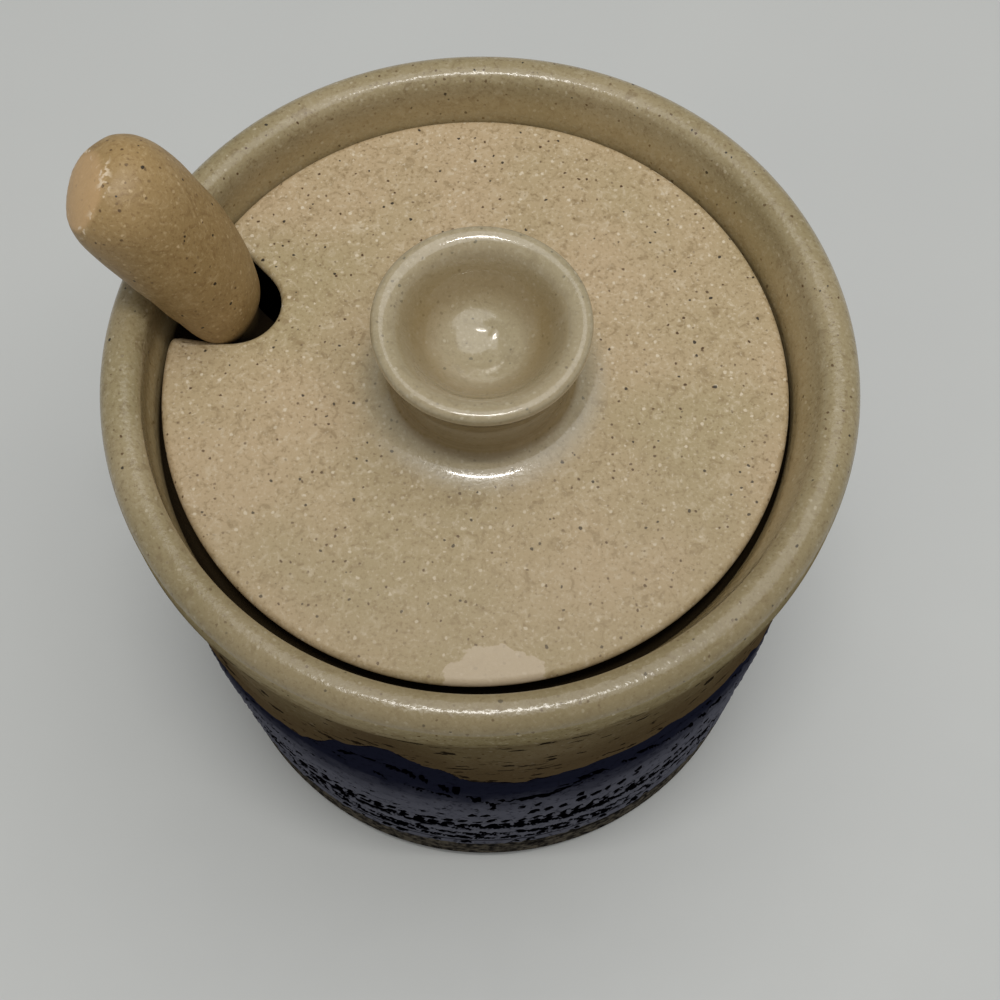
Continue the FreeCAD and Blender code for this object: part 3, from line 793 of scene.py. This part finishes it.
# %% Place and dent the spoon
SPOON_RINGS = (SPOON_FOOT + LOCAL[..., :1] * SIDE + LOCAL[..., 1:2] * SPOON_BACK
               + LOCAL[..., 2:] * SPOON_UP)
near_lid = bump(89.0, 20.0, UPS)[:, None]
in_neck = bump(82.0, 10.0, UPS)[:, None]
sway = 0.75 * smooth(60, 100, UPS)[:, None]
SPOON_RINGS[..., 0] -= sway + 0.9 * near_lid + 1.9 * in_neck
SPOON_RINGS[..., 1] += 0.5 * near_lid + 1.0 * in_neck
dents = grain(SPOON_RINGS, 61, 22) * 0.16 + grain(SPOON_RINGS, 62, 7) * 0.05
away = SPOON_RINGS - SPOON_RINGS.mean(axis=1, keepdims=True)
away /= np.linalg.norm(away, axis=-1, keepdims=True) + 1e-9
SPOON_RINGS = SPOON_RINGS + away * dents[..., None] * smooth(0, 6, UPS)[:, None, None]
print("the dents are up to %.2f mm deep" % -dents.min())

# %% [markdown]
# The tip has a flat place, where the wet spoon was laid down: points beyond a
# plane are moved most of the way back to it.

# %% Flatten the tip and build the spoon
FLAT_WAY = np.array([-0.74, -0.12, 0.66])
FLAT_DEPTH, FLAT_SHARE = 1.9, 0.6
reach_out = SPOON_RINGS @ FLAT_WAY
cut = reach_out - (reach_out.max() - FLAT_DEPTH)
SPOON_RINGS = SPOON_RINGS - FLAT_WAY * (np.maximum(cut, 0) * FLAT_SHARE)[..., None]
spoon = make_skin("spoon_clay", SPOON_RINGS)
store(spoon, "flat", cut)
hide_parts("spoon")
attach(spoon, "root")

# %% [markdown]
# ## Finishes
# Shader nodes do sums one at a time, which is hard to read as a list of
# nodes. A small class wraps a socket, so that an expression such as
# 1 - mask * 0.5 adds the Math nodes by itself.

# %% A socket that can be used in sums
class Flow:
    """The output of a node, for use in expressions on values."""

    def __init__(self, finish, socket):
        self.finish, self.socket = finish, socket

    def maths(self, operation, first, second):
        return self.finish.add("ShaderNodeMath", {"operation": operation}, {0: first, 1: second})

    def __add__(self, other):
        return self.maths("ADD", self, other)

    def __radd__(self, other):
        return self.maths("ADD", other, self)

    def __sub__(self, other):
        return self.maths("SUBTRACT", self, other)

    def __rsub__(self, other):
        return self.maths("SUBTRACT", other, self)

    def __mul__(self, other):
        return self.maths("MULTIPLY", self, other)

    def __rmul__(self, other):
        return self.maths("MULTIPLY", other, self)

    def __abs__(self):
        return self.maths("ABSOLUTE", self, 0.0)


print("sums are ready")

# %% [markdown]
# Any other node is added by one method, which takes its type, its settings and
# the values of its sockets. The coordinates of a finish are those of the
# object, in mm, so a noise of size 2 has lumps about 2 mm wide.

# %% Nodes, borders and mixes
class Mixture:
    """A material, and the nodes that draw borders and mix colours in it."""

    def __init__(self, name):
        self.material = bpy.data.materials.new(name)
        self.material.use_nodes = True
        self.tree = self.material.node_tree
        self.tree.nodes.clear()
        place = self.add("ShaderNodeTexCoord", {}, {}, "Object")
        self.place = self.add("ShaderNodeVectorMath", {"operation": "SCALE"},
                              {0: place, "Scale": 1 / MM}, 0)

    def add(self, kind, settings, inputs, output=0):
        """Add one node; a number, a colour or a Flow may feed each socket."""
        node = self.tree.nodes.new(kind)
        for key, value in settings.items():
            setattr(node, key, value)
        for key, value in inputs.items():
            socket = node.inputs[key]
            if isinstance(value, Flow):
                self.tree.links.new(value.socket, socket)
            else:
                socket.default_value = value
        return Flow(self, node.outputs[output]) if node.outputs else node

    def step(self, low, high, value):
        """0 below low, 1 above high, with a soft slope between."""
        return self.add("ShaderNodeMapRange", {"interpolation_type": "SMOOTHSTEP"},
                        {"Value": value, "From Min": low, "From Max": high})

    def blend(self, share, first, second):
        return self.add("ShaderNodeMix", {"data_type": "RGBA"},
                        {0: share, 6: first, 7: second}, 2)

    def kept(self, name):
        """A number stored on the points of the piece."""
        return self.add("ShaderNodeAttribute", {"attribute_name": name}, {}, "Fac")

    def along(self, axis):
        """How far along X, Y or Z a point of the piece lies, mm."""
        return self.add("ShaderNodeSeparateXYZ", {}, {0: self.place}, axis)


print("mixes are ready")

# %% [markdown]
# A finish adds the patterns of fired clay. Speckles are the middles of Voronoi
# cells: the distance to the middle gives a round spot, a little noise added to
# the place makes it ragged, and the random colour that each cell has tells
# which of the cells get a spot.

# %% Patterns and the shader
class Finish(Mixture):

    def at(self, size, shift=0.0, stretch=(1, 1, 1)):
        """The place on the piece, counted in lumps of that size."""
        scale = tuple(s / size for s in stretch)
        return self.add("ShaderNodeVectorMath", {"operation": "MULTIPLY_ADD"},
                        {0: self.place, 1: scale, 2: (shift, shift * 0.7, shift * 1.3)})

    def noise(self, size, shift=0.0, detail=2.0, stretch=(1, 1, 1), twist=0.0):
        """Soft lumps, 0 to 1; another shift gives other lumps."""
        return self.add("ShaderNodeTexNoise", {}, {
            "Vector": self.at(size, shift, stretch), "Scale": 1.0, "Detail": detail,
            "Roughness": 0.55, "Distortion": twist})

    def ragged_place(self):
        """The place pushed about a little, so that spots are not round."""
        lumps = self.add("ShaderNodeTexNoise", {}, {
            "Vector": self.at(0.6, 3.0), "Scale": 1.0, "Detail": 1.0}, "Color")
        return self.add("ShaderNodeVectorMath", {"operation": "MULTIPLY_ADD"},
                        {0: lumps, 1: (0.4, 0.4, 0.4), 2: self.place})

    def cells(self, size, way, shift):
        """Distance to the nearest cell's middle, and two chances of the cell."""
        place = self.add("ShaderNodeVectorMath", {"operation": "MULTIPLY_ADD"}, {
            0: way, 1: (1 / size, 1 / size, 1 / size), 2: (shift, shift, shift)})
        reach = self.add("ShaderNodeTexVoronoi", {}, {"Vector": place, "Scale": 1.0}, "Distance")
        colour = Flow(self, reach.socket.node.outputs["Color"])
        chance = self.add("ShaderNodeSeparateColor", {}, {0: colour}, "Red")
        return reach, chance, Flow(self, chance.socket.node.outputs["Green"])

    def surface(self, colour, rough, height, relief, coat=0.0, coat_rough=0.1, level=0.5):
        """The shader itself; relief is the depth of the bumps in mm."""
        normal = self.add("ShaderNodeBump", {}, {
            "Strength": 1.0, "Distance": relief * MM, "Height": height})
        shader = self.add("ShaderNodeBsdfPrincipled", {}, {
            "Base Color": colour, "Roughness": rough, "Normal": normal,
            "Specular IOR Level": level, "Coat Weight": coat, "Coat Roughness": coat_rough})
        self.add("ShaderNodeOutputMaterial", {}, {"Surface": shader})
        print(self.material.name, "has", len(self.tree.nodes), "nodes")

# %% [markdown]
# Colours are written as a screen shows them, red, green and blue from 0 to
# 255, and are converted, because the shader counts light.

# %% Colours
def tone(red, green, blue):
    """A screen colour, 0 to 255, as the shader counts it."""
    return tuple((c / 255 / 12.92) if c < 11 else ((c / 255 + 0.055) / 1.055) ** 2.4
                 for c in (red, green, blue)) + (1.0,)


IRON = tone(20, 11, 4)
RUST = tone(84, 60, 34)
print("white on a screen counts as", round(tone(255, 255, 255)[0], 2))

# %% [markdown]
# ### Speckled clay under a thin glaze
# The clay holds iron that burns to dark specks, and grog that shows as pale
# ones. The same body runs through the lid, the rim and the spoon, so the same
# helpers mix it. Its ground is a slow change of tone, a mottle of a few
# millimetres and a fine grain.

# %% The ground of the clay
def mottled(finish, light, dark, pale, brown, amount):
    """The clay without its specks: colour, and height of the grain."""
    mottle = finish.noise(1.7, 1.0, 3.0, twist=0.9)
    fine = finish.noise(0.5, 2.0, 2.0)
    colour = finish.blend(finish.step(0.3, 0.7, finish.noise(24, 5.0, 1.0)), light, dark)
    for lumps, low, high, share, tint in (
            (mottle, 0.52, 0.72, 0.5, brown), (mottle, 0.46, 0.26, 0.4, pale),
            (fine, 0.54, 0.76, 0.6, brown), (fine, 0.44, 0.22, 0.6, pale)):
        colour = finish.blend(finish.step(low, high, lumps) * share * amount, colour, tint)
    return colour, fine * 0.4 + mottle * 0.6


print("the ground of the clay is ready")

# %% [markdown]
# Specks come in two sizes of cell. Half of the small ones hold pale grog and
# half hold rust. Three quarters of the large ones hold a spot of iron.

# %% The specks in the clay
GROG_CELL, IRON_CELL = 1.25, 2.5


def clay_body(finish, light, dark, pale, brown, amount):
    """Colour, relief and where the iron specks are, for any piece."""
    colour, relief = mottled(finish, light, dark, pale, brown, amount)
    way = finish.ragged_place()
    reach, chance, other = finish.cells(GROG_CELL, way, 11.0)
    is_grog = finish.step(0.5, 0.52, chance)
    grog = finish.step(0.27, 0.14, reach) * is_grog
    rust = finish.step(0.23, 0.11, reach) * (1 - is_grog)
    colour = finish.blend(grog * other * 1.1 * amount, colour, pale)
    colour = finish.blend(rust * other * 1.1 * amount, colour, RUST)
    reach, chance, other = finish.cells(IRON_CELL, way, 29.0)
    spots = finish.step(0.04, 0.0, reach - 0.04 - other * 0.055)
    spots = spots * finish.step(0.25, 0.27, chance)
    return finish.blend(spots * 0.92, colour, IRON), relief, spots


print("about", round(100 / GROG_CELL ** 2), "small specks to a square cm")

# %% [markdown]
# ### The lid's finish
# The lid's glaze is thin and nearly matt on the deck. It pooled and turned
# glossy in the hollow round the neck, in the cup and over the knob's lip. By
# the front edge a patch of bare clay shows, where it was touched.

# %% Lid material
lid_mix = Finish("lid_thin_glaze")
lid_colour, lid_relief, _ = clay_body(
    lid_mix, light=tone(186, 164, 130), dark=tone(171, 154, 117),
    pale=tone(212, 198, 172), brown=tone(134, 112, 76), amount=1.15)
pooled = lid_mix.kept("pooled")
lid_colour = lid_mix.blend(pooled * 0.55, lid_colour, tone(162, 154, 128))
# Olive brown where glaze pooled in the cup's wall; on the neck under the lip the same tone is
# painted shade.
lid_colour = lid_mix.blend(lid_mix.kept("cup") * 0.62, lid_colour, tone(126, 103, 56))
# Painted shade: the deck darkens towards the front, where less light falls.
front_shade = lid_mix.step(15, -48, lid_mix.along("Y"))
lid_colour = lid_mix.blend(front_shade * 0.4, lid_colour, tone(150, 134, 106))
ragged = (lid_mix.noise(3.0, 9, 3.0) - 0.5) * 0.9
bare = 1 - lid_mix.step(0.93, 0.98, lid_mix.kept("bare") + ragged)
lid_colour = lid_mix.blend(bare * 0.75, lid_colour, tone(190, 174, 150))
lid_mix.surface(lid_colour, 0.50 - pooled * 0.38, lid_relief, 0.10,
                coat=pooled * 0.9, coat_rough=0.08, level=0.3)
lid.data.materials.append(lid_mix.material)

# %% [markdown]
# ### The pot's finishes
# Three finishes meet on the pot. On top lies the tan glaze, glossy with an
# uneven skin. Below it comes a blue-black slip, darkest at the glaze's edge and
# greyer further down, where painted sheen lightens it. The foot is bare clay.
# The slip is drawn matt, and how much a surface mirrors is one number for a
# whole material, so the glossy rim and the matt wall are two materials of one
# piece.

# %% The glossy rim
def tan_glaze(finish):
    return clay_body(finish, light=tone(162, 147, 114), dark=tone(146, 133, 98),
                     pale=tone(184, 172, 145), brown=tone(118, 99, 70), amount=0.9)


rim_mix = Finish("rim_glossy_tan")
rim_colour, _, rim_spots = tan_glaze(rim_mix)
rim_up = rim_mix.along("Z")
# Painted shade: the rim darkens towards the front.
front_shade = rim_mix.step(0, -55, rim_mix.along("Y"))
rim_colour = rim_mix.blend(front_shade * 0.5, rim_colour, tone(126, 112, 84))
# Painted bounce light: a warm yellow olive below the crest, as light bounced inside the gallery.
warm_bounce = rim_mix.step(JAR_HEIGHT - 2, JAR_HEIGHT - 6, rim_up)
rim_colour = rim_mix.blend(warm_bounce * 0.35, rim_colour, tone(164, 138, 88))
# Painted shade: the gallery turns near black by the ledge, deep in the gap round the lid.
ledge_shade = rim_mix.step(LEDGE + 3.6, LEDGE + 1.6, rim_up)
rim_colour = rim_mix.blend(ledge_shade * 0.95, rim_colour, tone(30, 22, 14))
rim_mix.surface(rim_colour, 0.2 + rim_spots * 0.3, rim_mix.noise(1.1, 41.0, 2.0), 0.09)
jar.data.materials.append(rim_mix.material)

# %% [markdown]
# On the wall below the lip the tan is darkened as painted shade of the collar,
# a little more towards the glaze's lower edge. The glaze also dragged short dark
# flecks with it: a noise that is squeezed in height.

# %% Painted shade and flecks on the wall's glaze
wall_mix = Finish("wall_slip_and_dashes")
tan, _, _ = tan_glaze(wall_mix)
wall_up = wall_mix.along("Z")
over = wall_mix.kept("glaze_over") + (wall_mix.noise(1.3, 7.0, 3.0) - 0.5) * 2.2
on_tan = wall_mix.step(-0.1, 0.2, over)
drag = wall_mix.noise(2.6, 12.0, 3.0, stretch=(0.6, 0.6, 2.2))
below_lip = wall_mix.step(JAR_HEIGHT - 4.6, JAR_HEIGHT - 8.6, wall_up)
# Painted shade under the collar, a little stronger towards the glaze's lower edge.
collar_shade = below_lip * (0.6 + wall_mix.step(20, 4, over) * 0.3)
tan = wall_mix.blend(collar_shade, tan, tone(80, 64, 43))
tan = wall_mix.blend(below_lip * wall_mix.step(0.60, 0.63, drag) * 0.9,
                     tan, tone(22, 15, 11))
print("thin glaze:", len(wall_mix.tree.nodes), "nodes so far")

# %% [markdown]
# The slip is navy at the glaze's edge and slate further down, with inky
# clouds; painted sheen lightens the slate. It gathered black in the dashes, and
# painted highlight lightens their raised lips.

# %% Slip and dashes
cloud = wall_mix.noise(5.0, 21.0, 3.0)
# The slate lower down is lightened as painted sheen, since the matt slip mirrors nothing.
slip = wall_mix.blend(wall_mix.step(60, 42, wall_up + cloud * 12 - 6),
                      tone(30, 32, 47), tone(96, 97, 108))
inky = wall_mix.step(0.52, 0.72, wall_mix.noise(1.1, 25.0, 2.0))
slip = wall_mix.blend(inky * 0.6, slip, tone(18, 18, 28))
dash_near = wall_mix.kept("dash")
dashes = 1 - wall_mix.step(1.05, 1.2, dash_near + cloud * 0.3 - 0.15)
raised = wall_mix.step(1.2, 1.32, dash_near) * wall_mix.step(1.7, 1.45, dash_near)
# Painted highlight on the raised lips of the dashes.
dash_lip_highlight = raised * wall_mix.step(44, 38, wall_up) * 0.3
slip = wall_mix.blend(dash_lip_highlight, slip, tone(116, 117, 126))
slip = wall_mix.blend(dashes, slip, tone(3, 3, 5))
print("slip and dashes:", len(wall_mix.tree.nodes), "nodes so far")

# %% [markdown]
# The foot was wiped clean, so its clay is bare. Slip stayed in the turned
# lines, and a dark line follows the glaze's edge.

# %% Foot, turned lines and the whole wall
clay = wall_mix.blend(wall_mix.step(0.35, 0.65, wall_mix.noise(1.4, 33.0, 3.0)),
                      tone(92, 86, 76), tone(30, 28, 27))
grooves = wall_mix.step(1.0, 0.3, wall_mix.kept("groove"))
wall = wall_mix.blend(wall_mix.step(12.6, 10.6, wall_up + cloud * 4 - 2), slip, clay)
wall = wall_mix.blend(grooves * 0.92, wall, tone(10, 9, 10))
edge_line = wall_mix.step(-1.2, -0.4, over) * (1 - on_tan)
wall = wall_mix.blend(edge_line * 0.9, wall, tone(14, 11, 20))
wall_mix.surface(wall_mix.blend(on_tan, wall, tan), 0.6, cloud, 0.1, level=0.0)
jar.data.materials.append(wall_mix.material)

# %% [markdown]
# The glossy material goes to the faces of the lip that look up, to those of the
# gallery, which look inwards, and to the inside of the pot.

# %% Share out the faces
LIP_FROM = 90 * MM
INSIDE_RADIUS = 49.5 * MM


def is_glossy(face):
    """True for a face of the lip, of the gallery or of the inside."""
    across = face.center.xy
    on_lip = face.normal.z > 0.3 or face.normal.xy @ across < 0
    return face.center.z > LIP_FROM and on_lip or math.hypot(*across) < INSIDE_RADIUS


indices = [0 if is_glossy(face) else 1 for face in jar.data.polygons]
jar.data.polygons.foreach_set("material_index", indices)
print(sum(indices), "faces of the pot are matt")

# %% [markdown]
# ### The spoon's finish
# The spoon is bare clay that fired brown. Its flat tip faces up and is made
# paler as painted light, with white chips along the border, and the shaft
# inside the jar is darkened as painted shade.

# %% Spoon material
spoon_mix = Finish("spoon_bare_clay")
spoon_colour, spoon_relief, _ = clay_body(
    spoon_mix, light=tone(166, 138, 92), dark=tone(153, 126, 81),
    pale=tone(194, 169, 128), brown=tone(120, 90, 50), amount=0.9)
flat = spoon_mix.kept("flat")
# Painted light: the flat tip faces up and is lightened.
spoon_colour = spoon_mix.blend(spoon_mix.step(-0.4, 0.5, flat) * 0.7,
                               spoon_colour, tone(206, 170, 124))
chips = spoon_mix.step(0.58, 0.66, spoon_mix.noise(1.3, 51.0, 2.0))
chipped = spoon_mix.step(1.0, 0.2, abs(flat)) * chips
spoon_colour = spoon_mix.blend(chipped * 0.8, spoon_colour, tone(226, 208, 180))
# Painted shade on the shaft below the lid's top, inside the jar.
shaft_shade = spoon_mix.step(LEDGE + 4.5, LEDGE - 1, spoon_mix.along("Z"))
spoon_colour = spoon_mix.blend(shaft_shade * 0.93, spoon_colour, tone(26, 18, 10))
spoon_mix.surface(spoon_colour, 0.5, spoon_relief, 0.12)
spoon.data.materials.append(spoon_mix.material)

# %% [markdown]
# ## Studio
# A plain pale floor curves up far behind the jar, so that no horizon shows.

# %% Floor
FLOOR_FRONT, FLOOR_BACK, FLOOR_SIDE = -2.2, 2.4, 3.0
floor_mix = Finish("floor_plain")
floor_mix.surface(floor_mix.blend(floor_mix.noise(60, 2.0, 2.0), tone(204, 206, 204),
                                  tone(198, 200, 199)),
                  0.55 + floor_mix.noise(9, 3.0) * 0.1, floor_mix.noise(3, 5.0), 0.02)
sweep = profile([(FLOOR_FRONT, 0, 0), (FLOOR_BACK, 0, 0.9), (FLOOR_BACK, 2.4, 0)])
floor_points = [(x, y, z) for x in (-FLOOR_SIDE, FLOOR_SIDE) for y, z in sweep]
floor_mesh = bpy.data.meshes.new("floor")
floor_mesh.from_pydata(floor_points, [], [
    (k, k + 1, len(sweep) + k + 1, len(sweep) + k) for k in range(len(sweep) - 1)])
floor_mesh.shade_smooth()
floor = bpy.data.objects.new("floor", floor_mesh)
floor.data.materials.append(floor_mix.material)
bpy.context.scene.collection.objects.link(floor)
print("floor strips:", len(floor_mesh.polygons))

# %% [markdown]
# A broad lamp overhead gives soft light, and a narrow one draws the thin
# bright lines along the glossy rim and the knob. A dim sky fills the shadows.

# %% Lamps and world
LAMP_AIM = Vector((0, 0, 0.09))


def lamp(name, place, size, watts, tint=(1, 1, 1)):
    """A soft ellipse of light that looks at the top of the jar."""
    data = bpy.data.lights.new(name, "AREA")
    data.shape = "ELLIPSE"
    data.size, data.size_y = size
    data.energy = watts
    data.color = tint
    holder = bpy.data.objects.new(name, data)
    holder.location = place
    holder.rotation_euler = (Vector(place) - LAMP_AIM).to_track_quat("Z", "Y").to_euler()
    bpy.context.scene.collection.objects.link(holder)
    print(name, "gives", watts, "W")


lamp("soft_overhead", (0.14, 0.06, 1.0), (1.0, 1.0), 3.9)
lamp("narrow_overhead", (0.0, -0.09, 1.25), (0.45, 0.036), 3.8, (1, 0.98, 0.94))
world = bpy.data.worlds.new("studio")
world.use_nodes = True
sky = world.node_tree.nodes["Background"]
sky.inputs["Color"].default_value = (0.99, 0.985, 0.97, 1)
sky.inputs["Strength"].default_value = 0.32
bpy.context.scene.world = world
bpy.context.scene.view_settings.view_transform = "Standard"
